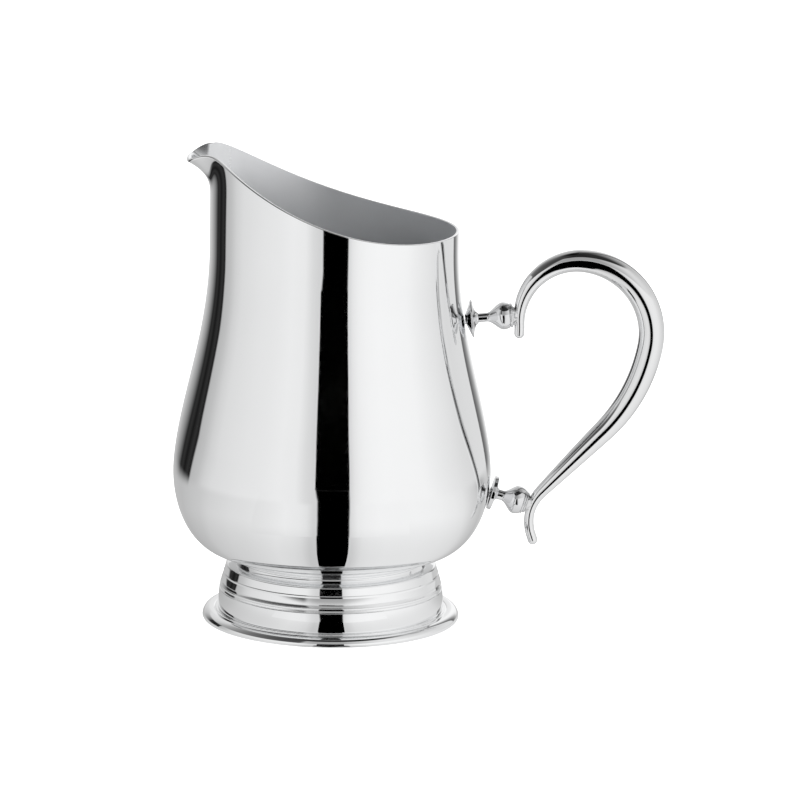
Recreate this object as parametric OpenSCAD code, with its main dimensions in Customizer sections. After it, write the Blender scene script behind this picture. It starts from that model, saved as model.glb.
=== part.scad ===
// Silver cream jug. A raised pear-shaped body with a sloping rim and a pouring lip stands on a
// spun foot. A scroll handle is held by two turned mounts, each a collar disc, a baluster and rings.
// Origin: the centre of the circle the foot rests on. +Z is up, the lip points along -X and the
// handle along +X. Millimetres.

/* [Body] */
// Outer radius of the body at its fullest
belly_r = 37; // [33:0.1:40]
// Height of the fullest part above the table
belly_z = 35; // [31:0.5:38]
// Outer radius of the straight upper part
neck_r = 28.8; // [26:0.1:30]
// Height at which the shoulder has drawn in to the straight upper part
neck_z = 88; // [80:0.5:90]
// How early the shoulder starts to draw in, lower is earlier
shoulder_bias = 0.85; // [0.75:0.01:1.1]
// How full the curve below the belly is, 2 is an ellipse
low_full = 2; // [1.8:0.05:2.6]
// Radius of the flat floor the body is soldered down on
floor_r = 25.5; // [24:0.1:26]
// Thickness of the sheet
wall = 0.8; // [0.6:0.05:1.2]

/* [Rim and lip] */
// Height of the rim on the handle side
rim_low = 91.9; // [89:0.1:94]
// How much higher the rim is on the lip side
rim_rise = 19.3; // [12:0.1:24]
// How hollow the slope of the rim is, 1 is straight
rim_curve = 2.22; // [1.4:0.01:2.6]
// How far the lip reaches out past the body
lip_reach = 5.3; // [3:0.1:7]
// Height over which the lip turns outward
lip_depth = 8.5; // [7:0.1:10]
// How sharply the lip turns outward near its edge
lip_flare = 3.1; // [2.6:0.1:3.6]
// Half the angle around the body that the lip takes up, degrees
lip_half = 16; // [12:0.5:24]
// How far the front of the lip dips below its sides
lip_droop = 3.3; // [0:0.1:4]

/* [Foot] */
// Outer radius of the base moulding
base_r = 30; // [29:0.1:31]
// Height of the base moulding
base_h = 2.3; // [2:0.1:3]
// Outer radius of the tall band at its bottom
band_low_r = 26.4; // [26.2:0.1:26.7]
// Outer radius of the tall band at its top
band_top_r = 26.1; // [26:0.1:26.3]
// Height of the top of the tall band
band_top_z = 6.9; // [6.7:0.1:7.1]
// Outer radius of the domed shoulder of the foot
dome_r = 25; // [24.8:0.1:25.1]
// Height at which the dome starts
dome_z = 10.8; // [10.6:0.1:11]
// Height of the top of the dome, where the neck collar rests
dome_top_z = 13.1; // [12.8:0.1:13.4]
// Outer radius of the neck tube inside the collar
tube_r = 20; // [19:0.1:20.6]
// Height of the neck, from the dome to the body
neck_h = 3.2; // [3:0.1:4]
// Outer radius of the reeds on the neck collar
collar_r = 22.2; // [21.9:0.1:22.4]

/* [Handle] */
// Greatest radius of the handle rod
grip_r = 3; // [2.4:0.05:3.4]
// Radius of the rod where it passes the upper mount
upper_tip_r = 1.2; // [1.1:0.02:1.6]
// Radius of the rod where it passes the lower mount and in the tail
lower_tip_r = 1.15; // [1.1:0.02:1.4]
// Distance of the rod's lowest upper end from the jug's axis
stub_x = 42.9; // [42.6:0.1:43.6]
// Height of the rod's upper end
stub_z = 66.8; // [66:0.1:67.4]
// Direction in which the rod leaves its upper end, degrees from +X
stub_aim = 84.5; // [83:0.1:86]

/* [Handle mounts] */
// Height at which the upper mount meets the body
upper_z = 71.2; // [70:0.1:72]
// Upward tilt of the upper mount, degrees
upper_tilt = 5.5; // [3:0.5:8]
// Radius of the upper collar disc
upper_disc_r = 4.45; // [4:0.05:4.8]
// Radius of the upper baluster
upper_ball_r = 3.2; // [2.8:0.05:3.4]
// Height at which the lower mount meets the body
lower_z = 30.3; // [29.6:0.1:31]
// Downward tilt of the lower mount, degrees
lower_tilt = 16; // [14:0.5:18]
// Radius of the lower collar disc
lower_disc_r = 4; // [3.6:0.05:4.4]
// Radius of the lower baluster
lower_ball_r = 3.3; // [2.9:0.05:3.5]

/* [Hidden] */
$fn = 96;
silver = [0.86, 0.87, 0.88];
// floor of the body, above the foot
floor_z = dome_top_z + neck_h;
// facets around the body, and how much closer they stand at the lip
skin_n = 72;
skin_crowd = 0.35;
// rows of facets below the belly, up the shoulder, and up to the rim
rows_low = 8;
rows_mid = 8;
rows_top = 8;
rows_all = rows_low + rows_mid + rows_top;
// height at which the rows start to follow the slope of the rim
level_z = 78;
// the rim's edge is crowned by this much
crown = 0.2;
// thickness of the foot's spun sheet
foot_wall = 0.8;
// the base moulding's upstand inside the foot
upstand_h = 0.9;
upstand_t = 0.5;
upstand_gap = 0.15;
// radius of the spigots that hold the mounts together, and how far they enter the rod
spigot_r = 0.7;
spigot_in = 1.1;
// arcs that make up the handle, from its upper end: length in mm, turn in degrees
handle_arcs = [[3.8, 9], [23.6, -97.9], [28.5, -95.6], [22.8, -34.3], [20.5, 0.7], [11.1, 62.6], [2.5, -3.4]];
handle_len = sum_to(handle_arcs, len(handle_arcs) - 1);
// share of the handle's length at which it reaches and leaves its full thickness, and its thin ends
swell_from = 0.03;
swell_full = 0.39;
taper_from = 0.5;
taper_end = 0.93;
rod_sides = 16;
rod_steps = 60;
// the cast swelling where the rod takes a spigot, at the mount and inside the rod
pad_r = 2.1;
pad_tip_r = 0.9;
// the discs' hubs and the thickness of their edges
hub_r = 1.25;
upper_disc_edge = 0.4;
lower_disc_edge = 0.95;
// radii of the balusters' necks and of the rings
upper_neck_r = 1.05;
lower_neck_r = 1.2;
upper_ring_r = 2.85;
lower_ring_inner_r = 2.8;
lower_ring_outer_r = 2.5;
// how far along each mount its parts start
upper_disc_s = 1.55;
upper_disc_back = 3.2;
lower_disc_s = 0.45;
lower_disc_back = 2.1;
upper_ball_s = 9;
upper_ogee = 3.9;
upper_ring_s = 10.5;
upper_ring_t = 0.7;
lower_ball_s = 6.6;
lower_ogee = 3.4;
lower_ring_s = 8.15;
lower_ring_t = 0.5;
// distance along each mount to the middle of the rod
upper_rod_s = 12.78;
lower_rod_s = 10.5;
// a mount's face stands this little off the curved body
seat_gap = 0.1;

function sum_to(a, n) = n < 0 ? 0 : a[n][0] + sum_to(a, n - 1);
function mix(a, b, t) = a + (b - a) * t;

// ---- body -------------------------------------------------------------------------------------
// outer radius of the body at height z, without the lip
function body_r(z) =
    z < belly_z
    ? floor_r + (belly_r - floor_r)
        * pow(1 - pow(min(1, (belly_z - z) / (belly_z - floor_z)), low_full), 1 / low_full)
    : z < neck_z
    ? neck_r + (belly_r - neck_r)
        * (0.5 + 0.5 * cos(180 * pow((z - belly_z) / (neck_z - belly_z), shoulder_bias)))
    : neck_r;

// how much of the lip there is at an angle from the lip's middle, 1 to 0
function lip_share(a) = 1 / (1 + pow(abs(a) / lip_half, 5));

function rim_z(a) =
    rim_low + rim_rise * pow((1 + cos(a)) / 2, rim_curve) - lip_droop * pow(lip_share(a), 2);

function lip_out(a, z) =
    lip_reach * lip_share(a) * pow(max(0, 1 - (rim_z(a) - z) / lip_depth), lip_flare);

// angle from the lip's middle of facet column i
function column(i) =
    let (s = 2 * i / skin_n - 1)
    sign(s) * 180 * (abs(s) * (1 - skin_crowd) + skin_crowd * s * s);

// outer [radius, height] of row k at an angle from the lip's middle
function outer(a, k) =
    k <= rows_low
    ? let (q = 90 * k / rows_low)
      [
        floor_r + (belly_r - floor_r) * pow(sin(q), 2 / low_full),
        belly_z - (belly_z - floor_z) * pow(cos(q), 2 / low_full)
      ]
    : k <= rows_low + rows_mid
    ? let (z = mix(belly_z, level_z, (k - rows_low) / rows_mid))
      [body_r(z), z]
    : let (u = 1 - pow(1 - (k - rows_low - rows_mid) / rows_top, 1.5))
      let (z = mix(level_z, rim_z(a), u))
      [body_r(z) + lip_out(a, z), z];

function along_skin(a, k) =
    let (d = outer(a, min(rows_all, k + 1)) - outer(a, max(0, k - 1)))
    d / norm(d);

// the same row on the inside of the sheet
function inner(a, k) =
    k == 0
    ? [floor_r, floor_z + wall]
    : let (d = along_skin(a, k))
      outer(a, k) + wall * [-d[1], d[0]];

function edge(a) =
    (outer(a, rows_all) + inner(a, rows_all)) / 2 + crown * along_skin(a, rows_all);

// the rows of the whole sheet, up the outside, over the edge and down the inside
function skin_row(a, m) =
    m <= rows_all ? outer(a, m) : m == rows_all + 1 ? edge(a) : inner(a, 2 * rows_all + 2 - m);

skin_rows = 2 * rows_all + 3;

module body_shell() {
    points = [
        for (m = [0 : skin_rows - 1])
            for (i = [0 : skin_n - 1])
                let (a = column(i))
                let (p = skin_row(a, m))
                [p[0] * cos(180 + a), p[0] * sin(180 + a), p[1]]
    ];
    under = len(points);
    over = under + 1;
    sides = [
        for (m = [0 : skin_rows - 2])
            for (i = [0 : skin_n - 1])
                let (j = (i + 1) % skin_n)
                let (lo = m * skin_n)
                let (hi = lo + skin_n)
                each [[lo + i, hi + i, hi + j], [lo + i, hi + j, lo + j]]
    ];
    last = (skin_rows - 1) * skin_n;
    caps = [
        for (i = [0 : skin_n - 1])
            let (j = (i + 1) % skin_n)
            each [[under, i, j], [last + i, over, last + j]]
    ];
    color(silver)
        polyhedron(
            concat(points, [[0, 0, floor_z], [0, 0, floor_z + wall]]),
            concat(sides, caps)
        );
}

// ---- foot -------------------------------------------------------------------------------------
function arc_points(cx, cy, rx, ry, from, to, n) =
    [for (k = [0 : n]) let (q = mix(from, to, k / n)) [cx + rx * cos(q), cy + ry * sin(q)]];

// a cove, two fine reeds and a sloping ring, from the dome up to the body
module neck_collar() {
    top = dome_top_z + neck_h;
    color(silver)
        rotate_extrude()
            polygon(concat(
                [[tube_r, dome_top_z], [collar_r + 0.2, dome_top_z], [collar_r + 0.2, dome_top_z + 0.12]],
                [[collar_r, dome_top_z + 0.45], [collar_r - 0.15, dome_top_z + 0.9]],
                arc_points(collar_r - 0.2, dome_top_z + 1.22, 0.2, 0.26, -80, 80, 6),
                arc_points(collar_r - 0.25, dome_top_z + 1.82, 0.2, 0.24, -80, 80, 6),
                [[collar_r - 0.3, dome_top_z + 2.12], [collar_r - 0.12, dome_top_z + 2.2]],
                [[collar_r - 0.4, top - 0.2], [collar_r - 0.65, top], [tube_r, top]]
            ));
}

module foot_shell() {
    flare_z = dome_z - 1.9;
    turn_r = 0.62;
    color(silver)
        rotate_extrude()
            polygon(concat(
                [[tube_r, floor_z], [tube_r, dome_top_z], [collar_r + 0.25, dome_top_z]],
                arc_points(dome_r - 0.4 - turn_r, dome_top_z - 0.12 - turn_r, turn_r, turn_r, 85, 14, 6),
                [[dome_r, dome_z + 0.12]],
                [[dome_r + 0.12, dome_z - 0.05], [dome_r + 0.15, dome_z - 0.45]],
                [[dome_r + 0.65, flare_z], [dome_r + 0.5, flare_z - 0.15]],
                [[dome_r + 0.72, flare_z - 0.6]],
                arc_points(dome_r + 0.7, flare_z - 1, 0.2, 0.35, 70, -70, 6),
                [[band_top_r - 0.2, band_top_z + 0.32]],
                arc_points(band_top_r - 0.25, band_top_z, 0.25, 0.25, 90, 0, 4),
                [[band_low_r, base_h], [band_low_r - foot_wall, base_h]],
                [[band_top_r - foot_wall, band_top_z - 0.3], [dome_r - 0.3, dome_z - 2.4]],
                [[dome_r - 0.65, dome_z - 0.4], [dome_r - 0.95, dome_top_z - 0.95]],
                [[collar_r + 0.1, dome_top_z - foot_wall], [tube_r - foot_wall, dome_top_z - foot_wall]],
                [[tube_r - foot_wall, floor_z]]
            ));
}

module base_moulding() {
    in_r = band_low_r - foot_wall - upstand_gap;
    round_r = 2;
    edge_z = 0.35;
    color(silver)
        rotate_extrude()
            polygon(concat(
                [[in_r - upstand_t, 0], [base_r - 0.8, 0], [base_r - 0.15, 0.06]],
                arc_points(base_r - round_r, edge_z, round_r, base_h - edge_z, 0, 82, 9),
                [[base_r - 2.7, base_h - 0.1], [base_r - 2.9, base_h - 0.25], [base_r - 3.1, base_h - 0.2]],
                [[base_r - 3.15, base_h]],
                [[in_r, base_h], [in_r, base_h + upstand_h]],
                [[in_r - upstand_t, base_h + upstand_h]]
            ));
}

// ---- handle -----------------------------------------------------------------------------------
// [x, z, heading] after a length s along an arc of given length and turn
function step(p, s, piece) =
    let (turned = p[2] + piece[1] * s / piece[0])
    piece[1] == 0
    ? [p[0] + s * cos(p[2]), p[1] + s * sin(p[2]), p[2]]
    : let (radius = 180 * piece[0] / (PI * piece[1]))
      [
        p[0] + radius * (sin(turned) - sin(p[2])),
        p[1] - radius * (cos(turned) - cos(p[2])),
        turned
      ];

function rod_at(s, j = 0, p = [stub_x, stub_z, stub_aim]) =
    s <= handle_arcs[j][0] || j == len(handle_arcs) - 1
    ? step(p, s, handle_arcs[j])
    : rod_at(s - handle_arcs[j][0], j + 1, step(p, handle_arcs[j][0], handle_arcs[j]));

// radius of the rod at a length s, with its ends rounded over
function rod_full_r(s) =
    let (f = s / handle_len)
    f < swell_from
    ? upper_tip_r
    : f < swell_full
    ? mix(upper_tip_r, grip_r, sin(90 * (f - swell_from) / (swell_full - swell_from)))
    : f < taper_from
    ? grip_r
    : f < taper_end
    ? mix(lower_tip_r, grip_r, cos(90 * (f - taper_from) / (taper_end - taper_from)))
    : lower_tip_r;

function rounded(d, r) = d >= r ? 1 : sqrt(1 - pow(1 - d / r, 2));

function rod_r(s) =
    rod_full_r(s) * rounded(s, upper_tip_r) * rounded(handle_len - s, lower_tip_r);

// lengths at which the rod has a ring of points, closer together over the rounded ends
rod_stations = concat(
    [for (q = [20 : 20 : 80]) upper_tip_r * (1 - cos(q))],
    [for (k = [0 : rod_steps]) mix(upper_tip_r, handle_len - lower_tip_r, k / rod_steps)],
    [for (q = [80 : -20 : 20]) handle_len - lower_tip_r * (1 - cos(q))]
);

module rod() {
    rings = len(rod_stations);
    points = [
        for (s = rod_stations)
            let (p = rod_at(s))
            let (r = rod_r(s))
            for (i = [0 : rod_sides - 1])
                let (q = 360 * i / rod_sides)
                [p[0] - r * cos(q) * sin(p[2]), r * sin(q), p[1] + r * cos(q) * cos(p[2])]
    ];
    first = rod_at(0);
    last = rod_at(handle_len);
    start = len(points);
    end = start + 1;
    top = (rings - 1) * rod_sides;
    sides = [
        for (m = [0 : rings - 2])
            for (i = [0 : rod_sides - 1])
                let (j = (i + 1) % rod_sides)
                let (lo = m * rod_sides)
                let (hi = lo + rod_sides)
                each [[lo + i, lo + j, hi + j], [lo + i, hi + j, hi + i]]
    ];
    caps = [
        for (i = [0 : rod_sides - 1])
            let (j = (i + 1) % rod_sides)
            each [[start, j, i], [top + i, top + j, end]]
    ];
    polyhedron(
        concat(points, [[first[0], 0, first[1]], [last[0], 0, last[1]]]),
        concat(sides, caps)
    );
}

// the mount's own axis becomes +X, starting on the body's surface
module on_mount(z, tilt) {
    translate([body_r(z), 0, z])
        rotate([0, 90 - tilt, 0])
            children();
}

// the cast swelling where the rod takes a mount's spigot, from the mount's last face
module pad(from, to) {
    translate([0, 0, from])
        cylinder(h = to - from, r1 = pad_r, r2 = pad_tip_r);
}

module socket(to) {
    translate([0, 0, to - 6])
        cylinder(h = 6, r = spigot_r);
}

module handle() {
    upper_face = upper_ring_s + upper_ring_t;
    lower_face = lower_ring_s + 2 * lower_ring_t;
    color(silver)
        difference() {
            union() {
                rod();
                on_mount(upper_z, upper_tilt) pad(upper_face, upper_rod_s);
                on_mount(lower_z, -lower_tilt) pad(lower_face, lower_rod_s);
            }
            on_mount(upper_z, upper_tilt) socket(upper_face + spigot_in);
            on_mount(lower_z, -lower_tilt) socket(lower_face + spigot_in);
        }
}

// ---- handle mounts ----------------------------------------------------------------------------
// a collar disc: its face to the body hollow, its back drawn in to a hub
module disc(r, rim_s, edge_t, back_s, front_bow) {
    rotate_extrude()
        polygon(concat(
            [[spigot_r, seat_gap], [hub_r, seat_gap], [hub_r, 0.3]],
            [for (k = [1 : 6]) [mix(hub_r, r - 0.12, k / 6), mix(0.3, rim_s, pow(k / 6, front_bow))]],
            [[r, rim_s + 0.12], [r, rim_s + edge_t - 0.12]],
            [for (k = [6 : -1 : 0]) [
                mix(hub_r, r - 0.12, k / 6),
                mix(back_s, rim_s + edge_t, pow(k / 6, 0.45))
            ]],
            [[spigot_r, back_s]]
        ));
}

// a baluster: a spigot through the disc, a neck, an ogee up to the ball and a spigot for the rod
module baluster(neck, back_s, ball_s, ball_r, ogee, end_s, tip_s) {
    turn_s = ball_s - ogee;
    ball_to = end_s - ball_s;
    rotate_extrude()
        polygon(concat(
            [[0, seat_gap], [spigot_r, seat_gap], [spigot_r, back_s], [neck, back_s], [neck, turn_s]],
            [for (k = [1 : 9]) [mix(neck, ball_r, 0.5 - 0.5 * cos(20 * k)), turn_s + ogee * k / 9]],
            [for (k = [1 : 6]) let (d = ball_to * k / 6) [sqrt(ball_r * ball_r - d * d), ball_s + d]],
            [[spigot_r, end_s], [spigot_r, tip_s], [0, tip_s]]
        ));
}

// a bead-edged ring threaded on a baluster's end
module ring(r, from, t) {
    rotate_extrude()
        polygon(concat(
            [[spigot_r, from]],
            arc_points(r - t / 2, from + t / 2, t / 2, t / 2, -90, 90, 8),
            [[spigot_r, from + t]]
        ));
}

module upper_disc() {
    color(silver)
        on_mount(upper_z, upper_tilt)
            disc(upper_disc_r, upper_disc_s, upper_disc_edge, upper_disc_back, 1);
}

module upper_baluster() {
    color(silver)
        on_mount(upper_z, upper_tilt)
            baluster(
                upper_neck_r, upper_disc_back, upper_ball_s, upper_ball_r, upper_ogee,
                upper_ring_s, upper_ring_s + upper_ring_t + spigot_in - 0.1
            );
}

module upper_ring() {
    color(silver)
        on_mount(upper_z, upper_tilt)
            ring(upper_ring_r, upper_ring_s, upper_ring_t);
}

module lower_disc() {
    color(silver)
        on_mount(lower_z, -lower_tilt)
            disc(lower_disc_r, lower_disc_s, lower_disc_edge, lower_disc_back, 2);
}

module lower_baluster() {
    color(silver)
        on_mount(lower_z, -lower_tilt)
            baluster(
                lower_neck_r, lower_disc_back, lower_ball_s, lower_ball_r, lower_ogee,
                lower_ring_s, lower_ring_s + 2 * lower_ring_t + spigot_in - 0.1
            );
}

module lower_ring_inner() {
    color(silver)
        on_mount(lower_z, -lower_tilt)
            ring(lower_ring_inner_r, lower_ring_s, lower_ring_t);
}

module lower_ring_outer() {
    color(silver)
        on_mount(lower_z, -lower_tilt)
            ring(lower_ring_outer_r, lower_ring_s + lower_ring_t, lower_ring_t);
}

body_shell();
neck_collar();
foot_shell();
base_moulding();
handle();
upper_disc();
upper_baluster();
upper_ring();
lower_disc();
lower_baluster();
lower_ring_inner();
lower_ring_outer();
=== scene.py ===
"""Looks for the silver cream jug: body, foot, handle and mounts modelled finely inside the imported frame,
polished and satin silver, and a pale studio for the silver to reflect. Lengths are in millimetres and
angles in degrees until a mesh is made."""

import math

import bpy
import numpy as np
from mathutils import Matrix, Vector


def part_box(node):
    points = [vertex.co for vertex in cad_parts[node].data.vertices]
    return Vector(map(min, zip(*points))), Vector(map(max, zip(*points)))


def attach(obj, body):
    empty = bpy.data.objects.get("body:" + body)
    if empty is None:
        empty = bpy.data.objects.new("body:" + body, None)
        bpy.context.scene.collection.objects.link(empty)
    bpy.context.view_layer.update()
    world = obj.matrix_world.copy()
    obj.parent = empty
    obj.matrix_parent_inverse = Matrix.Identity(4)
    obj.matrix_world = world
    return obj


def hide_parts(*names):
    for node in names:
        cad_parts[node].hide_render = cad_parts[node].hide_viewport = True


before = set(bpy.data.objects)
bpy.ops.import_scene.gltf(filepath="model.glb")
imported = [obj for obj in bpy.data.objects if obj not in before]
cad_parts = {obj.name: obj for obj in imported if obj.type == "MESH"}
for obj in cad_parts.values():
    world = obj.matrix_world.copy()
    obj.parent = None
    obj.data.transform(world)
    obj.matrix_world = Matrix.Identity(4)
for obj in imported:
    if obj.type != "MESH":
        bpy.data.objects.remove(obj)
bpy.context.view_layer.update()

MM = 0.001
TINY = 1e-6
BODY = "root"
NOISE_LOW, NOISE_HIGH = 0.3, 0.7


def node_size(node):
    """Lowest and highest corner of a CAD node, in mm."""
    low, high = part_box(node)
    return np.array(low) / MM, np.array(high) / MM


# ---- driving dimensions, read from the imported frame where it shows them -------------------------
body_low, body_high = node_size("body_shell")
foot_low, foot_high = node_size("foot_shell")
collar_low, collar_high = node_size("neck_collar")
base_high = node_size("base_moulding")[1]
handle_high = node_size("handle")[1]

# the body: the belly, the straight upper part, how early the shoulder draws in and how full the curve
# under the belly is, then the floor and the sheet
belly_r = body_high[0]
belly_z = 35.0
neck_r = 28.8
neck_z = 88.0
shoulder_bias = 0.85
low_full = 2.0
floor_r = 25.5
floor_z = body_low[2]
wall = 0.8

# the rim and the lip; the rows of points follow the rim's slope from level_z up
rim_low = 91.9
rim_rise = 19.3
rim_curve = 2.22
lip_reach = 5.3
lip_depth = 8.5
lip_flare = 3.1
lip_half = 16.0
lip_droop = 3.3
level_z = 78.0
crown = 0.2

# the foot
base_r = base_high[0]
base_h = foot_low[2]
band_low_r = foot_high[0]
band_top_r = 26.1
band_top_z = 6.9
dome_r = 25.0
dome_z = 10.8
dome_top_z = collar_low[2]
neck_h = collar_high[2] - collar_low[2]
tube_r = 20.0
collar_r = collar_high[0] - 0.2
foot_wall = 0.8

# the rod: its radii, its upper end as x, z and heading, and its arcs as length and turn. The swelling and
# the taper are shares of its length
grip_r = handle_high[1]
upper_tip_r = 1.2
lower_tip_r = 1.15
stub = (42.9, 66.8, 84.5)
handle_arcs = (
    (3.8, 9.0), (23.6, -97.9), (28.5, -95.6), (22.8, -34.3), (20.5, 0.7), (11.1, 62.6), (2.5, -3.4),
)
handle_len = sum(arc[0] for arc in handle_arcs)
swell_from, swell_full, taper_from, taper_end = 0.03, 0.39, 0.5, 0.93

# the mounts: where each meets the body, then its parts by radius and, in _s, by place along the mount.
# disc_bow says how hollow the disc's front is, 1 is straight. Each ring has its name in the looks, its
# node and its radius
spigot_r, spigot_in, hub_r, hub_s, seat_gap = 0.7, 1.0, 1.25, 0.3, 0.1
upper = {
    "side": "upper", "z": 71.2, "tilt": 5.5,
    "disc_r": 4.45, "disc_s": 1.55, "disc_edge": 0.4, "disc_back": 3.2, "disc_bow": 1,
    "neck_r": 1.05, "ball_r": 3.2, "ball_s": 9.0, "ogee": 3.9,
    "rings": (("ring", "upper_ring", 2.85),), "ring_s": 10.5, "ring_t": 0.7,
    "rod_s": 12.78,
}
lower = {
    "side": "lower", "z": 30.3, "tilt": -16.0,
    "disc_r": 4.0, "disc_s": 0.45, "disc_edge": 0.95, "disc_back": 2.1, "disc_bow": 2,
    "neck_r": 1.2, "ball_r": 3.3, "ball_s": 6.6, "ogee": 3.4,
    "rings": (("ring_a", "lower_ring_inner", 2.8), ("ring_b", "lower_ring_outer", 2.5)),
    "ring_s": 8.15, "ring_t": 0.5,
    "rod_s": 10.5,
}

# how finely things are modelled: points round the body, the foot, the mounts, their pads and the rod, and
# rings along the rod
BODY_COLS, FOOT_COLS, MOUNT_COLS, PAD_COLS, ROD_COLS = 320, 288, 160, 96, 64
ROD_RINGS = 420
# rows of points under the belly, up the shoulder, up to the rim and over its edge
LOW_ROWS, SHOULDER_ROWS, RIM_ROWS, EDGE_ROWS = 40, 55, 60, 7
# how much closer the body's columns stand at the lip
COLUMN_CROWD = 0.35


# ---- shapes ------------------------------------------------------------------------------------
def mix(a, b, t):
    return a + (b - a) * t


def body_r(z):
    """Outer radius of the body at height z, without the lip."""
    z = np.asarray(z, float)
    low = np.clip((belly_z - z) / (belly_z - floor_z), 0, 1)
    below = floor_r + (belly_r - floor_r) * (1 - low**low_full) ** (1 / low_full)
    up = np.clip((z - belly_z) / (neck_z - belly_z), 0, 1)
    above = neck_r + (belly_r - neck_r) * (0.5 + 0.5 * np.cos(math.pi * up**shoulder_bias))
    return np.where(z < belly_z, below, above)


def lip_share(a):
    """How much of the lip there is at an angle from its middle, 1 to 0."""
    return 1 / (1 + (np.abs(a) / lip_half) ** 5)


def rim_z(a):
    slope = ((1 + np.cos(np.radians(a))) / 2) ** rim_curve
    return rim_low + rim_rise * slope - lip_droop * lip_share(a) ** 2


def lip_out(a, z):
    near = np.clip(1 - (rim_z(a) - z) / lip_depth, 0, None)
    return lip_reach * lip_share(a) * near**lip_flare


def body_profile(a):
    """Outer [radius, height] of every row, bottom to rim, at an angle a from the lip's middle."""
    q = np.radians(np.linspace(0, 90, LOW_ROWS))
    low = [
        floor_r + (belly_r - floor_r) * np.sin(q) ** (2 / low_full),
        belly_z - (belly_z - floor_z) * np.cos(q) ** (2 / low_full),
    ]
    z_mid = np.linspace(belly_z, level_z, SHOULDER_ROWS + 1)[1:]
    u = 1 - (1 - np.linspace(0, 1, RIM_ROWS + 1)[1:]) ** 1.5
    z_top = mix(level_z, rim_z(a), u)
    r_top = body_r(z_top) + lip_out(a, z_top)
    radius = np.concatenate([low[0], body_r(z_mid), r_top])
    height = np.concatenate([low[1], z_mid, z_top])
    return np.stack([radius, height], -1)


def sheet_ring(profile, thickness):
    """The whole section of a sheet: up the outside, over a rounded edge, down the inside."""
    tangent = np.gradient(profile, axis=0)
    tangent /= np.linalg.norm(tangent, axis=1)[:, None]
    inward = np.stack([-tangent[:, 1], tangent[:, 0]], -1)
    inside = profile + thickness * inward
    inside[0] = [profile[0, 0], profile[0, 1] + thickness]
    middle = (profile[-1] + inside[-1]) / 2
    half = (profile[-1] - inside[-1]) / 2
    q = np.linspace(0, math.pi, EDGE_ROWS + 2)[1:-1, None]
    edge = middle + np.cos(q) * half + np.sin(q) * crown * tangent[-1]
    return np.concatenate([profile, edge, inside[::-1]])


def fillet(points, radius, steps=5, least_turn=14, most_cut=0.42):
    """The closed profile with its corners rounded, where they turn by more than least_turn degrees."""
    pts = [np.array(p, float) for p in points]
    out = []
    for i, p in enumerate(pts):
        a, b = pts[i - 1] - p, pts[(i + 1) % len(pts)] - p
        la, lb = np.linalg.norm(a), np.linalg.norm(b)
        if la < TINY or lb < TINY:
            continue
        turn = math.pi - math.acos(np.clip(a @ b / (la * lb), -1, 1))
        if turn < math.radians(least_turn):
            out.append(p)
            continue
        cut = min(radius * math.tan(turn / 2), most_cut * la, most_cut * lb)
        start, end = p + a / la * cut, p + b / lb * cut
        for k in range(steps + 1):
            t = k / steps
            out.append((1 - t) ** 2 * start + 2 * t * (1 - t) * p + t * t * end)
    return np.array(out)


def arc_points(cx, cy, rx, ry, start, end, n):
    """Points along an upright arc, round or oval, between two angles."""
    q = np.radians(np.linspace(start, end, n + 1))
    return [(cx + rx * math.cos(t), cy + ry * math.sin(t)) for t in q]


def chain_at(s):
    """[x, z, heading in degrees] of the handle's centreline at a length s from its upper end."""
    x, z, heading = stub
    for length, turn in handle_arcs:
        d = min(s, length)
        radius = 180 * length / (math.pi * turn)
        turned = heading + turn * d / length
        x += radius * (math.sin(math.radians(turned)) - math.sin(math.radians(heading)))
        z -= radius * (math.cos(math.radians(turned)) - math.cos(math.radians(heading)))
        heading = turned
        s -= d
        if s <= 0:
            break
    return x, z, heading


def rod_full_r(f):
    """Radius of the rod at a share f of its length, before its ends are rounded over."""
    if f < swell_from:
        return upper_tip_r
    if f < swell_full:
        t = (f - swell_from) / (swell_full - swell_from)
        return mix(upper_tip_r, grip_r, math.sin(math.pi / 2 * t))
    if f < taper_from:
        return grip_r
    if f < taper_end:
        t = (f - taper_from) / (taper_end - taper_from)
        return mix(lower_tip_r, grip_r, math.cos(math.pi / 2 * t))
    return lower_tip_r


def rounded(d, r):
    """Share of its radius r that the rod has at a distance d from its end."""
    return 1.0 if d >= r else math.sqrt(max(0.0, 1 - (1 - d / r) ** 2))


# ---- mesh makers --------------------------------------------------------------------------------
def within(verts, node):
    """The points, held just inside the box of the CAD node they show."""
    margin = 0.002
    low, high = node_size(node)
    return np.clip(verts, low + margin, high - margin)


def new_object(name, verts, faces, sharp=32):
    mesh = bpy.data.meshes.new(name)
    mesh.from_pydata([tuple(v) for v in np.asarray(verts) * MM], [], faces)
    mesh.validate()
    mesh.polygons.foreach_set("use_smooth", [True] * len(mesh.polygons))
    mesh.set_sharp_from_angle(angle=math.radians(sharp))
    obj = bpy.data.objects.new(name, mesh)
    bpy.context.scene.collection.objects.link(obj)
    return obj


def tube_faces(rows, cols, close_rows=False):
    """Quads of a grid that is closed round its columns, and round its rows where asked."""
    faces = []
    for m in range(rows if close_rows else rows - 1):
        lo, hi = m * cols, (m + 1) % rows * cols
        for i in range(cols):
            j = (i + 1) % cols
            faces.append((lo + i, lo + j, hi + j, hi + i))
    return faces


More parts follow.
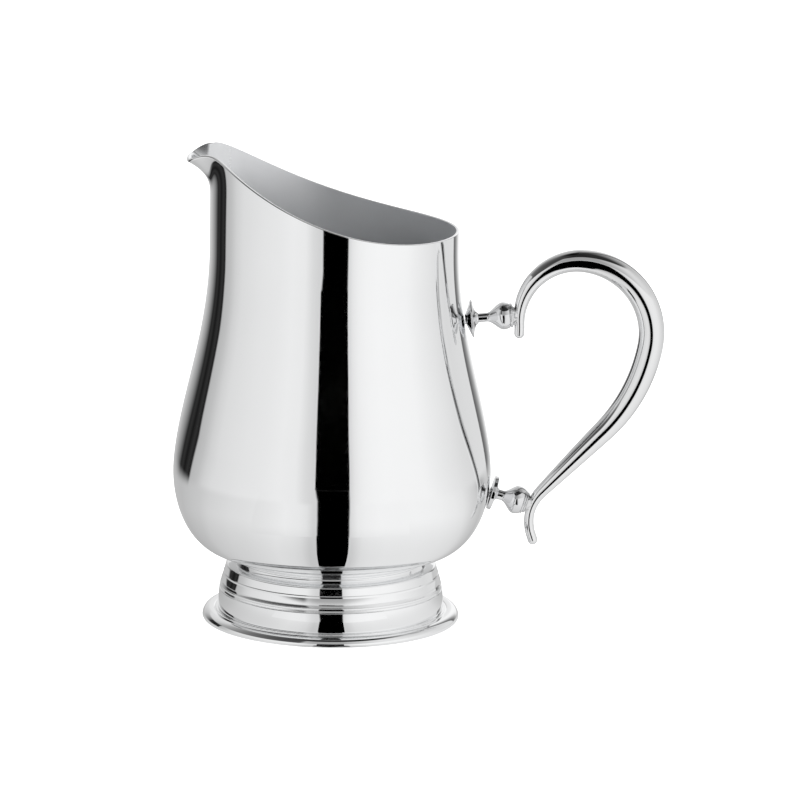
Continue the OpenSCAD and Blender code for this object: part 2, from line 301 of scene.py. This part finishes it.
def lathe(name, profile, cols, matrix=None):
    """A closed [radius, height] profile, anticlockwise, turned about Z. Points on the axis are shared."""
    profile = np.asarray(profile, float)
    q = np.linspace(0, 2 * math.pi, cols, endpoint=False)
    on_axis = profile[:, 0] < TINY
    open_ends = on_axis.any()
    if open_ends:
        profile = profile[~on_axis]
        ends = (profile[0, 1], profile[-1, 1])
    verts = np.stack(
        [
            profile[:, 0, None] * np.cos(q),
            profile[:, 0, None] * np.sin(q),
            np.repeat(profile[:, 1, None], cols, 1),
        ],
        -1,
    ).reshape(-1, 3)
    rows = len(profile)
    faces = tube_faces(rows, cols, close_rows=not open_ends)
    if open_ends:
        verts = np.concatenate([verts, [[0, 0, ends[0]], [0, 0, ends[1]]]])
        first, last, top = rows * cols, rows * cols + 1, (rows - 1) * cols
        for i in range(cols):
            j = (i + 1) % cols
            faces.append((first, j, i))
            faces.append((top + i, top + j, last))
    if matrix is not None:
        verts = verts @ matrix[:3, :3].T + matrix[:3, 3]
    return new_object(name, verts, faces)


def mount_matrix(mount):
    """The mount's own axis as +Z, starting on the body's surface."""
    t = math.radians(mount["tilt"])
    m = np.eye(4)
    m[:3, 0] = (math.sin(t), 0, -math.cos(t))
    m[:3, 2] = (math.cos(t), 0, math.sin(t))
    m[:3, 3] = (float(body_r(mount["z"])), 0, mount["z"])
    return m


# ---- materials ----------------------------------------------------------------------------------
class Nodes:
    """A few words for building a node tree."""

    def __init__(self, tree):
        self.tree = tree

    def add(self, kind):
        return self.tree.nodes.new(kind)

    def join(self, source, target):
        self.tree.links.new(source, target)

    def coordinates(self, scale):
        """Object coordinates in millimetres, stretched by scale along each axis."""
        place = self.add("ShaderNodeTexCoord")
        stretch = self.add("ShaderNodeMapping")
        stretch.inputs["Scale"].default_value = [s / MM for s in scale]
        self.join(place.outputs["Object"], stretch.inputs["Vector"])
        return stretch.outputs["Vector"]

    def noise(self, scale, detail=2.0, rough=0.5):
        """Noise with scale grains per millimetre along each axis."""
        node = self.add("ShaderNodeTexNoise")
        node.inputs["Scale"].default_value = 1.0
        node.inputs["Detail"].default_value = detail
        node.inputs["Roughness"].default_value = rough
        self.join(self.coordinates(scale), node.inputs["Vector"])
        return node.outputs["Fac"]

    def remap(self, value, low, high, to_low, to_high):
        node = self.add("ShaderNodeMapRange")
        for socket, number in zip(
            ("From Min", "From Max", "To Min", "To Max"), (low, high, to_low, to_high)
        ):
            node.inputs[socket].default_value = number
        self.join(value, node.inputs["Value"])
        return node.outputs["Result"]

    def bump(self, height, depth, under=None):
        """A relief of the given depth in mm."""
        node = self.add("ShaderNodeBump")
        node.inputs["Strength"].default_value = 1.0
        node.inputs["Distance"].default_value = depth * MM
        self.join(height, node.inputs["Height"])
        if under is not None:
            self.join(under, node.inputs["Normal"])
        return node.outputs["Normal"]


def empty_tree(owner):
    """The emptied node tree of a material or a world."""
    owner.use_nodes = True
    owner.node_tree.nodes.clear()
    return Nodes(owner.node_tree)


def shader(name):
    """A material with a bare Principled shader, and the words to build on it."""
    material = bpy.data.materials.new(name)
    nodes = empty_tree(material)
    out = nodes.add("ShaderNodeOutputMaterial")
    principled = nodes.add("ShaderNodeBsdfPrincipled")
    nodes.join(principled.outputs["BSDF"], out.inputs["Surface"])
    return material, nodes, principled


def two_tones(nodes, noise, dark, light):
    """A colour that wanders with the noise between two tones."""
    ramp = nodes.add("ShaderNodeValToRGB")
    first, last = ramp.color_ramp.elements
    first.position, first.color = NOISE_LOW, (*dark, 1)
    last.position, last.color = NOISE_HIGH, (*light, 1)
    nodes.join(noise, ramp.inputs["Fac"])
    return ramp.outputs["Color"]


def polished_silver(name, waviness=0.012, shine=0.035, tone=(0.93, 0.935, 0.94)):
    """Mirror-polished silver: faint planishing waves, buffing haze and a breath of tarnish."""
    material, nodes, principled = shader(name)
    clouds = nodes.noise((0.045, 0.045, 0.06), detail=3.0)
    dark = tuple(c * 0.985 for c in tone)
    nodes.join(two_tones(nodes, clouds, dark, tone), principled.inputs["Base Color"])
    haze = nodes.noise((0.5, 0.5, 0.9), detail=4.0, rough=0.6)
    rough = nodes.remap(haze, NOISE_LOW, NOISE_HIGH, shine * 0.7, shine * 1.5)
    nodes.join(rough, principled.inputs["Roughness"])
    waves = nodes.noise((0.11, 0.11, 0.07), detail=1.0)
    buffing = nodes.noise((0.8, 0.8, 9.0), detail=3.0)
    relief = nodes.bump(waves, waviness * 2.2)
    relief = nodes.bump(buffing, waviness * 0.02, relief)
    nodes.join(relief, principled.inputs["Normal"])
    principled.inputs["Metallic"].default_value = 1.0
    return material


def satin_silver(name):
    """The inside: satin silver brushed round the bowl, giving way to a polish inside the lip."""
    material, nodes, principled = shader(name)
    clouds = nodes.noise((0.06, 0.06, 0.05), detail=4.0)
    tone, dark = (0.93, 0.94, 0.955), (0.88, 0.89, 0.905)
    nodes.join(two_tones(nodes, clouds, dark, tone), principled.inputs["Base Color"])
    brush = nodes.noise((0.35, 0.35, 6.0), detail=6.0, rough=0.65)
    matt = nodes.remap(brush, NOISE_LOW, NOISE_HIGH, 0.36, 0.46)
    across = nodes.add("ShaderNodeSeparateXYZ")
    nodes.join(nodes.coordinates((1, 1, 1)), across.inputs["Vector"])
    # the share of that roughness, from the lip's side inward
    share = nodes.remap(across.outputs["X"], 1 - neck_r, 7 - neck_r, 0.3, 1.0)
    rough = nodes.add("ShaderNodeMath")
    rough.operation = "MULTIPLY"
    nodes.join(matt, rough.inputs[0])
    nodes.join(share, rough.inputs[1])
    nodes.join(rough.outputs["Value"], principled.inputs["Roughness"])
    nodes.join(nodes.bump(brush, 0.004), principled.inputs["Normal"])
    principled.inputs["Metallic"].default_value = 0.91
    return material


# ---- pieces -------------------------------------------------------------------------------------
def finish_piece(obj, nodes, materials):
    """Gives a piece its materials, hangs it on the body and hides the CAD nodes it shows."""
    for material in materials:
        obj.data.materials.append(material)
    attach(obj, BODY)
    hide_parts(*nodes)


def make_body(silver, satin):
    """The raised sheet of the body, polished outside and over its edge, satin inside."""
    cols, edge_rows_polished = BODY_COLS, 5
    s = 2 * np.arange(cols) / cols - 1
    angles = np.sign(s) * 180 * (np.abs(s) * (1 - COLUMN_CROWD) + COLUMN_CROWD * s * s)
    sections = [sheet_ring(body_profile(a), wall) for a in angles]
    rows = len(sections[0])
    polished_rows = len(body_profile(0.0)) + edge_rows_polished
    verts = np.zeros((rows, cols, 3))
    for i, a in enumerate(angles):
        t = math.radians(180 + a)
        verts[:, i, 0] = sections[i][:, 0] * math.cos(t)
        verts[:, i, 1] = sections[i][:, 0] * math.sin(t)
        verts[:, i, 2] = sections[i][:, 1]
    verts = verts.reshape(-1, 3)
    faces = tube_faces(rows, cols)
    under, over = len(verts), len(verts) + 1
    verts = np.concatenate([verts, [[0, 0, floor_z], [0, 0, floor_z + wall]]])
    last = (rows - 1) * cols
    for i in range(cols):
        j = (i + 1) % cols
        faces.append((under, j, i))
        faces.append((last + i, last + j, over))
    obj = new_object("jug_body", within(verts, "body_shell"), faces, sharp=50)
    finish_piece(obj, ["body_shell"], [silver, satin])
    # the caps come last, a triangle of the underside and one of the bowl's floor in turn
    inside = np.zeros(len(obj.data.polygons), dtype=np.int32)
    inside[polished_rows * cols : (rows - 1) * cols] = 1
    inside[-2 * cols :][1::2] = 1
    obj.data.polygons.foreach_set("material_index", inside)


def collar_profile():
    """A cove, two fine reeds and a sloping ring, from the dome up to the body."""
    top = dome_top_z + neck_h
    return fillet(
        [(tube_r, dome_top_z), (collar_r + 0.2, dome_top_z), (collar_r + 0.2, dome_top_z + 0.12)]
        + [(collar_r, dome_top_z + 0.45), (collar_r - 0.15, dome_top_z + 0.9)]
        + arc_points(collar_r - 0.2, dome_top_z + 1.22, 0.2, 0.26, -80, 80, 12)
        + arc_points(collar_r - 0.25, dome_top_z + 1.82, 0.2, 0.24, -80, 80, 12)
        + [(collar_r - 0.3, dome_top_z + 2.12), (collar_r - 0.12, dome_top_z + 2.2)]
        + [(collar_r - 0.4, top - 0.2), (collar_r - 0.65, top), (tube_r, top)], 0.08)


def shell_profile():
    """Up the neck tube, over the dome, down the flare and the tall band, and back up inside."""
    flare_z = dome_z - 1.9
    turn_r = 0.62
    return fillet(
        [(tube_r, floor_z), (tube_r, dome_top_z), (collar_r + 0.25, dome_top_z)]
        + arc_points(dome_r - 0.4 - turn_r, dome_top_z - 0.12 - turn_r, turn_r, turn_r, 85, 14, 14)
        + [(dome_r, dome_z + 0.12)]
        + [(dome_r + 0.12, dome_z - 0.05), (dome_r + 0.15, dome_z - 0.45)]
        + [(dome_r + 0.65, flare_z), (dome_r + 0.5, flare_z - 0.15), (dome_r + 0.72, flare_z - 0.6)]
        + arc_points(dome_r + 0.7, flare_z - 1, 0.2, 0.35, 70, -70, 12)
        + [(band_top_r - 0.2, band_top_z + 0.32)]
        + arc_points(band_top_r - 0.25, band_top_z, 0.25, 0.25, 90, 0, 6)
        + [(band_low_r, base_h), (band_low_r - foot_wall, base_h)]
        + [(band_top_r - foot_wall, band_top_z - 0.3), (dome_r - 0.3, dome_z - 2.4)]
        + [(dome_r - 0.65, dome_z - 0.4), (dome_r - 0.95, dome_top_z - 0.95)]
        + [(collar_r + 0.1, dome_top_z - foot_wall), (tube_r - foot_wall, dome_top_z - foot_wall)]
        + [(tube_r - foot_wall, floor_z)], 0.06)[::-1]


def base_profile():
    """The rounded moulding the jug stands on, with an upstand inside the foot."""
    upstand_h, upstand_t, upstand_gap = 0.9, 0.5, 0.15
    in_r = band_low_r - foot_wall - upstand_gap
    round_r, edge_z = 2.0, 0.35
    return fillet(
        [(in_r - upstand_t, 0), (base_r - 0.8, 0), (base_r - 0.15, 0.06)]
        + arc_points(base_r - round_r, edge_z, round_r, base_h - edge_z, 0, 82, 28)
        + [(base_r - 2.7, base_h - 0.1), (base_r - 2.9, base_h - 0.25), (base_r - 3.1, base_h - 0.2)]
        + [(base_r - 3.15, base_h)]
        + [(in_r, base_h), (in_r, base_h + upstand_h), (in_r - upstand_t, base_h + upstand_h)], 0.06)


def make_foot(silver):
    for name, profile, node in (
        ("foot_collar", collar_profile(), "neck_collar"),
        ("foot_dome", shell_profile(), "foot_shell"),
        ("foot_base", base_profile(), "base_moulding"),
    ):
        finish_piece(lathe(name, profile, FOOT_COLS), [node], [silver])


def rod_mesh(name):
    """The handle's rod: rings of points along its arcs, closer together over its rounded ends."""
    sides = ROD_COLS
    q = np.radians(np.arange(6, 90, 6))
    stations = np.concatenate([
        upper_tip_r * (1 - np.cos(q)),
        np.linspace(upper_tip_r, handle_len - lower_tip_r, ROD_RINGS),
        handle_len - lower_tip_r * (1 - np.cos(q[::-1])),
    ])
    turn = np.linspace(0, 2 * math.pi, sides, endpoint=False)
    verts = []
    for s in stations:
        x, z, heading = chain_at(s)
        r = rod_full_r(s / handle_len)
        r *= rounded(s, upper_tip_r) * rounded(handle_len - s, lower_tip_r)
        h = math.radians(heading)
        verts.append(np.stack([
            x - r * np.cos(turn) * math.sin(h),
            r * np.sin(turn),
            z + r * np.cos(turn) * math.cos(h),
        ], -1))
    verts = np.concatenate(verts)
    rings = len(stations)
    faces = [f[::-1] for f in tube_faces(rings, sides)]
    ends = [[x, 0, z] for x, z, heading in (chain_at(0), chain_at(handle_len))]
    start, end, top = rings * sides, rings * sides + 1, (rings - 1) * sides
    for i in range(sides):
        j = (i + 1) % sides
        faces.append((start, i, j))
        faces.append((top + j, top + i, end))
    return new_object(name, within(np.concatenate([verts, ends]), "handle"), faces)


def ring_start(mount, k):
    """How far along the mount ring k starts; after the last ring the mount's face lies."""
    return mount["ring_s"] + k * mount["ring_t"]


def face_of(mount):
    return ring_start(mount, len(mount["rings"]))


def pad_profile(mount):
    """The cast swelling between a mount's face and the middle of the rod."""
    pad_r, pad_tip_r, hollow = 2.45, 0.9, 0.8
    start, end = face_of(mount), mount["rod_s"]
    t = np.linspace(0, 1, 14)
    radius = mix(pad_r, pad_tip_r, t**hollow)
    points = [(0, start)] + [(r, mix(start, end, k)) for r, k in zip(radius, t)] + [(0, end)]
    return fillet(points, 0.05)


def unite(obj, others):
    """Joins the others to the object and removes them."""
    for other in others:
        modifier = obj.modifiers.new("join", "BOOLEAN")
        modifier.operation = "UNION"
        modifier.solver = "EXACT"
        modifier.object = other
        bpy.context.view_layer.objects.active = obj
        bpy.ops.object.modifier_apply(modifier=modifier.name)
        bpy.data.objects.remove(other)


def make_handle(silver):
    rod = rod_mesh("handle_rod")
    pads = [lathe("pad", pad_profile(mount), PAD_COLS, mount_matrix(mount)) for mount in (upper, lower)]
    unite(rod, pads)
    finish_piece(rod, ["handle"], [silver])


def disc_profile(mount):
    """A collar disc: its front slopes off the body from hub to rim, and its back is a hollow cone."""
    r, rim_s, back_s = mount["disc_r"], mount["disc_s"], mount["disc_back"]
    edge_s, bevel, back_bow = rim_s + mount["disc_edge"], 0.12, 0.45
    k = np.linspace(0, 1, 15)
    front = [(mix(hub_r, r - bevel, t), mix(hub_s, rim_s, t ** mount["disc_bow"])) for t in k[1:]]
    back = [(mix(hub_r, r - bevel, t), mix(back_s, edge_s, t**back_bow)) for t in k[::-1]]
    return fillet(
        [(spigot_r, seat_gap), (hub_r, seat_gap), (hub_r, hub_s)] + front
        + [(r, rim_s + bevel), (r, edge_s - bevel)] + back + [(spigot_r, back_s)], 0.1)


def baluster_profile(mount):
    """A baluster: its neck, an ogee up to the ball, and a spigot at each end."""
    neck, back_s = mount["neck_r"], mount["disc_back"]
    ball_s, ball_r, ogee = mount["ball_s"], mount["ball_r"], mount["ogee"]
    end_s, tip_s = mount["ring_s"], face_of(mount) + spigot_in
    turn_s = ball_s - ogee
    rise = np.linspace(0, 180, 25)[1:]
    curve = [
        (mix(neck, ball_r, 0.5 - 0.5 * math.cos(math.radians(t))), turn_s + ogee * t / 180)
        for t in rise
    ]
    over = np.linspace(0, end_s - ball_s, 12)[1:]
    ball = [(math.sqrt(ball_r**2 - d * d), ball_s + d) for d in over]
    return fillet(
        [(0, seat_gap), (spigot_r, seat_gap), (spigot_r, back_s), (neck, back_s), (neck, turn_s)]
        + curve + ball + [(spigot_r, end_s), (spigot_r, tip_s), (0, tip_s)], 0.06)


def ring_profile(r, start, t):
    """A thin ring with a round edge."""
    return [(spigot_r, start)] + arc_points(r - t / 2, start + t / 2, t / 2, t / 2, -90, 90, 14) + [
        (spigot_r, start + t)]


def make_mount(silver, mount):
    """A collar disc on the body, a baluster, and the rings in front of the rod."""
    side = mount["side"]

    def turned(name, profile, node):
        piece = lathe(name, profile, MOUNT_COLS, mount_matrix(mount))
        finish_piece(piece, [node], [silver])

    turned(f"mount_{side}_disc", disc_profile(mount), f"{side}_disc")
    turned(f"mount_{side}_baluster", baluster_profile(mount), f"{side}_baluster")
    for k, (name, node, r) in enumerate(mount["rings"]):
        turned(f"mount_{side}_{name}", ring_profile(r, ring_start(mount, k), mount["ring_t"]), node)


# ---- studio -------------------------------------------------------------------------------------
def emission(name, strength, colour_attribute=None):
    """A material that glows, white or in the colours painted on the mesh. At strength 0 it is black."""
    material = bpy.data.materials.new(name)
    nodes = empty_tree(material)
    out = nodes.add("ShaderNodeOutputMaterial")
    glow = nodes.add("ShaderNodeEmission")
    glow.inputs["Strength"].default_value = strength
    glow.inputs["Color"].default_value = (1, 1, 1, 1)
    if colour_attribute:
        attribute = nodes.add("ShaderNodeAttribute")
        attribute.attribute_name = colour_attribute
        nodes.join(attribute.outputs["Color"], glow.inputs["Color"])
    nodes.join(glow.outputs["Emission"], out.inputs["Surface"])
    return material


def only_in_reflections(obj):
    """Makes a stage piece that only the silver sees."""
    obj.visible_camera = False
    obj.visible_diffuse = False
    obj.visible_transmission = False
    obj.visible_volume_scatter = False
    obj.visible_shadow = False


def smooth(low, high, x):
    """0 below low, 1 above high, and a smooth step between."""
    t = np.clip((x - low) / (high - low), 0, 1)
    return t * t * (3 - 2 * t)


# The studio is painted from what the silver shows. These are brightnesses by the angle round the jug, 0 in
# front and negative on the lip's side. First the white sheets: a dark stand shows at the back left, and
# one that fades out at the back right.
SHEETS = (
    (-180, 0.85), (-170, 0.75), (-160, 0.62), (-154, 0.55), (-146, 0.38), (-141, 0.25), (-136.5, 0.11),
    (-133.5, 0.02), (-130, 0.03), (-126, 0.01), (-121, 0.03), (-117, 0.012), (-115, 0.5), (-111, 0.53),
    (-107, 0.56), (-99, 0.68), (-90, 0.76), (-80, 0.79), (-66, 0.83), (-50, 0.86), (-37, 0.9), (-25, 0.88),
    (-18, 0.75), (-13, 0.7), (13, 0.72), (15, 0.76), (17, 0.83), (21, 0.9), (24, 0.93), (30, 0.96),
    (40, 0.98), (60, 0.97), (69, 0.96), (75, 0.93), (81, 0.9), (90, 0.86), (99, 0.82), (109, 0.77),
    (118, 0.74), (130, 0.76), (141, 0.76), (142, 0.13), (145, 0.18), (148, 0.28), (152, 0.45),
    (156, 0.7), (160, 0.9), (165, 1), (174, 1), (180, 0.85),
)
# the dark room over the top edge of the left sheet, in the same way
OVER_LEFT = (
    (-180, 0.8), (-162, 0.76), (-152, 0.72), (-142, 0.66), (-134, 0.58), (-126, 0.45), (-114, 0.36),
    (-100, 0.25), (-89, 0.19), (-65, 0.12), (-45, 0.08), (-20, 0.08),
)
# the table close to the jug, in the same way
TABLE = (
    (-180, 0.62), (-160, 0.54), (-127, 0.52), (-109, 0.58), (-97, 0.62), (-87, 0.69), (-79, 0.72),
    (-66, 0.77), (-54, 0.8), (-42, 0.85), (-32, 0.9), (-22, 0.87), (-17, 0.82), (-12, 0.69), (13, 0.72),
    (19, 0.88), (24, 0.92), (34, 0.96), (56, 0.96), (75, 0.93), (90, 0.88), (99, 0.83), (111, 0.69),
    (129, 0.56), (145, 0.62), (180, 0.7),
)
# the ceiling behind the jug, by height over the horizon: it darkens towards the middle
BACK_HEIGHTS = (
    (-90, 1), (15, 1), (34, 0.88), (44, 0.74), (54, 0.56), (64, 0.36), (72, 0.2), (80, 0.07), (90, 0.03),
)

# The dark gap between the two front sheets, as angles to its left and right edge. First on the table close
# to the jug, by distance from the jug's axis; NEAR_END is where that part ends.
NEAR_LEFT = ((30, 7.2), (45, 7.8), (62, 8.0))
NEAR_RIGHT = ((30, 10.0), (45, 10.8), (62, 11.0))
NEAR_END = 62.0
# then farther off, under the horizon, by the angle looked down. There the table is part of the sky's mesh
# within FAR_HALF of the front, so that the gap runs straight for the handle too.
FAR_LEFT = ((0, 11), (7.5, 9.4), (26, 9.8), (47, 12), (60, 16), (77, 31))
FAR_RIGHT = ((0, 13), (7.5, 13.4), (26, 14.1), (47, 16.4), (60, 20), (77, 29))
FAR_HALF = 50
# and over the horizon, as a card in front of the camera
CARD_LEFT, CARD_RIGHT, CARD_TOP, CARD_AWAY = -194.0, 231.0, 330.0, 1000.0

# points round the studio's meshes, the sky's radius, and how far over the true table the dark gap lies and
# under it the table that the silver sees
STAGE_COLS, SKY_R, GAP_Z, GLOW_Z = 720, 2200.0, 0.02, -0.4


def along(table, x):
    """The table's value at x, on the straight line between its rows."""
    return np.interp(x, [row[0] for row in table], [row[1] for row in table])


def studio_light(azimuth, elevation):
    """Brightness of the sheets, the room over them and the ceiling."""
    sheets = along(SHEETS, azimuth)
    sheets = mix(sheets, np.maximum(sheets, 0.55), smooth(60, 75, elevation))
    over_top = smooth(17, 21, elevation)
    # in front the room over the sheets is grey and the ceiling nearly black
    front = mix(1.0, mix(0.56, 0.85, smooth(15, 60, np.abs(azimuth))), over_top)
    front = mix(front, 0.03, smooth(47, 52, elevation))
    behind = smooth(60, 120, np.abs(azimuth))
    light = sheets * mix(front, along(BACK_HEIGHTS, elevation), behind)
    # on the lip's side the room is darker
    fading = 0.3 * smooth(30, 50, elevation) + 0.67 * smooth(62, 80, elevation)
    room = along(OVER_LEFT, azimuth) * (1 - fading)
    on_left = smooth(22, 29, -azimuth) * smooth(0, 12, 180 + azimuth)
    return mix(light, room, over_top * on_left)


def table_light(azimuth, distance):
    """Brightness of the table: set by the angle round the jug near it, darker closest to the jug as painted
    shade, and following the sheets farther off.
    """
    # painted shade: within 35 mm of the jug's axis the table keeps 0.86 of its brightness, rising to full at
    # 95 mm
    near = along(TABLE, azimuth) * mix(0.86, 1.0, smooth(35, 95, distance))
    # the foot of the stand at the back right
    stand_azimuth, stand_away = 126, 205
    shade = np.exp(-(((azimuth - stand_azimuth) / 7) ** 2) - ((distance - stand_away) / 45) ** 2)
    near = near * (1 - 0.55 * shade)
    return mix(near, along(SHEETS, azimuth), smooth(150, 250, distance))


def front_light(azimuth, elevation):
    """Brightness in front, under the horizon: the table's far part, with the dark gap between the sheets."""
    down = -elevation
    # lower directions spread wider than the table's angles round the jug
    seen = azimuth * mix(1, 0.84, smooth(8, 45, down))
    # painted shade: looking steeply down, close to the jug, the table is darker
    table = along(TABLE, seen) * mix(1.0, 0.92, smooth(30, 45, down))
    plain = mix(table, along(SHEETS, azimuth), smooth(-13, -8, elevation))
    soft = 0.5
    left = smooth(-soft, soft, azimuth + along(FAR_LEFT, down))
    inside = left * smooth(-soft, soft, along(FAR_RIGHT, down) - azimuth)
    return plain * (1 - inside)


def paint(obj, light):
    """Stores a grey for every point of a stage mesh."""
    attribute = obj.data.color_attributes.new("light", "FLOAT_COLOR", "POINT")
    rgba = np.ones((len(light), 4), np.float32)
    rgba[:, :3] = np.asarray(light, np.float32)[:, None]
    attribute.data.foreach_set("color", rgba.ravel())


def angles_round():
    return np.radians(np.arange(STAGE_COLS) * 360 / STAGE_COLS - 180)


def make_sky():
    """The sheets and the ceiling round the jug and, under the horizon in front, the table's far part."""
    rows, pole = 200, 89.9
    el = np.radians(np.linspace(-pole, pole, rows))
    e, a = np.meshgrid(el, angles_round(), indexing="ij")
    verts = SKY_R * np.stack([np.sin(a) * np.cos(e), -np.cos(a) * np.cos(e), np.sin(e)], -1)
    obj = new_object("studio_sheets", verts.reshape(-1, 3), tube_faces(rows, STAGE_COLS))
    azimuth, elevation = np.degrees(a).ravel(), np.degrees(e).ravel()
    above, below = studio_light(azimuth, elevation), front_light(azimuth, elevation)
    paint(obj, mix(below, above, smooth(-1, 0, elevation)))
    obj.data.materials.append(emission("studio_sheets", 1.0, "light"))
    only_in_reflections(obj)


def make_table_glow():
    """The table as the silver sees it, cut away in front where the sky's mesh takes over."""
    radii = np.geomspace(4, SKY_R + 50, 110)
    r, a = np.meshgrid(radii, angles_round(), indexing="ij")
    verts = np.stack([r * np.sin(a), -r * np.cos(a), 0 * r + GLOW_Z], -1)
    angle, distance = np.degrees(a).ravel(), r.ravel()
    far_front = (np.abs(angle) < FAR_HALF) & (distance > NEAR_END)
    faces = [f for f in tube_faces(len(radii), STAGE_COLS) if not far_front[list(f)].all()]
    obj = new_object("table_in_reflections", verts.reshape(-1, 3), faces)
    paint(obj, table_light(angle, distance))
    obj.data.materials.append(emission("table_in_reflections", 1.0, "light"))
    only_in_reflections(obj)


def make_front_gap():
    """The dark gap between the two front sheets: its part on the table by the jug, and its upright card."""
    overlap, steps = 4, 12
    y = -np.linspace(base_r + 0.02, NEAR_END + overlap, steps)
    left = y * np.tan(np.radians(along(NEAR_LEFT, -y)))
    right = -y * np.tan(np.radians(along(NEAR_RIGHT, -y)))
    verts = []
    for x0, x1, at in zip(left, right, y):
        verts += [(x0, at, GAP_Z), (x1, at, GAP_Z)]
    faces = [(2 * i, 2 * i + 1, 2 * i + 3, 2 * i + 2) for i in range(steps - 1)]
    corners = ((CARD_LEFT, 0), (CARD_RIGHT, 0), (CARD_RIGHT, CARD_TOP), (CARD_LEFT, CARD_TOP))
    faces.append(tuple(range(len(verts), len(verts) + len(corners))))
    verts += [(x, -CARD_AWAY, z) for x, z in corners]
    obj = new_object("front_gap", verts, faces)
    obj.data.materials.append(emission("dark_card", 0.0))
    only_in_reflections(obj)


def make_floor():
    """The pale table that the camera sees, just under the foot."""
    inner_r, outer_r, drop = 30, 9000, 0.02
    cols, radii = 128, np.geomspace(inner_r, outer_r, 40)
    q = np.linspace(0, 2 * math.pi, cols, endpoint=False)
    verts = np.stack([
        radii[:, None] * np.cos(q), radii[:, None] * np.sin(q), np.zeros((len(radii), cols)) - drop,
    ], -1).reshape(-1, 3)
    faces = tube_faces(len(radii), cols)
    faces.append(tuple(range(cols)))
    obj = new_object("floor", verts, faces)
    material, nodes, principled = shader("pale_floor")
    grain = nodes.noise((0.02, 0.02, 0.02))
    paper = two_tones(nodes, grain, (0.88, 0.88, 0.88), (0.9, 0.9, 0.9))
    nodes.join(paper, principled.inputs["Base Color"])
    principled.inputs["Roughness"].default_value = 0.9
    principled.inputs["Specular IOR Level"].default_value = 0.0
    principled.inputs["Emission Color"].default_value = (1, 1, 1, 1)
    principled.inputs["Emission Strength"].default_value = 0.62
    obj.data.materials.append(material)
    obj.visible_glossy = False


def make_world():
    """A plain white surround."""
    world = bpy.data.worlds.new("studio")
    bpy.context.scene.world = world
    nodes = empty_tree(world)
    out = nodes.add("ShaderNodeOutputWorld")
    back = nodes.add("ShaderNodeBackground")
    back.inputs["Color"].default_value = (1, 1, 1, 1)
    back.inputs["Strength"].default_value = 1.0
    nodes.join(back.outputs["Background"], out.inputs["Surface"])


def area_light(name, at, towards, size, power):
    """A soft light that shows neither in the picture nor in the silver."""
    light = bpy.data.lights.new(name, "AREA")
    light.shape = "RECTANGLE"
    light.size, light.size_y = size[0] * MM, size[1] * MM
    light.energy = power
    obj = bpy.data.objects.new(name, light)
    bpy.context.scene.collection.objects.link(obj)
    obj.location = Vector(at) * MM
    obj.rotation_mode = "QUATERNION"
    obj.rotation_quaternion = (Vector(towards) - Vector(at)).to_track_quat("-Z", "Y")
    obj.visible_glossy = False
    obj.visible_camera = False


def make_camera():
    """The photo's camera, fitted to the jug's outline."""
    aim = Vector((15.6, 0.0, 51.8)) * MM
    eye = Vector((15.6, -1135.0, 297.0)) * MM
    tilt_sideways = 0.8
    data = bpy.data.cameras.new("camera")
    data.sensor_width = 36.0
    data.lens = 225.0
    data.clip_start, data.clip_end = 0.01, 100.0
    camera = bpy.data.objects.new("camera", data)
    bpy.context.scene.collection.objects.link(camera)
    camera.location = eye
    look = (aim - eye).to_track_quat("-Z", "Y").to_matrix().to_4x4()
    roll = Matrix.Rotation(math.radians(tilt_sideways), 4, "Z")
    camera.rotation_mode = "QUATERNION"
    camera.rotation_quaternion = (look @ roll).to_quaternion()
    bpy.context.scene.camera = camera


# ---- the scene ----------------------------------------------------------------------------------
silver_body = polished_silver("silver_body")
silver_foot = polished_silver("silver_foot", waviness=0.006)
# the handle and the mounts take a darker tone than the body's silver: painted shade
silver_handle = polished_silver("silver_handle", waviness=0.008, shine=0.05, tone=(0.84, 0.842, 0.846))
silver_mounts = polished_silver("silver_mounts", waviness=0.005, shine=0.05, tone=(0.8, 0.803, 0.81))
satin = satin_silver("satin_inside")

make_body(silver_body, satin)
make_foot(silver_foot)
make_handle(silver_handle)
make_mount(silver_mounts, upper)
make_mount(silver_mounts, lower)

make_camera()
make_world()
make_floor()
make_sky()
make_table_glow()
make_front_gap()
area_light("key", at=(-700, -900, 1200), towards=(0, 0, 50), size=(900, 900), power=6.0)
bpy.context.scene.view_settings.view_transform = "Standard"
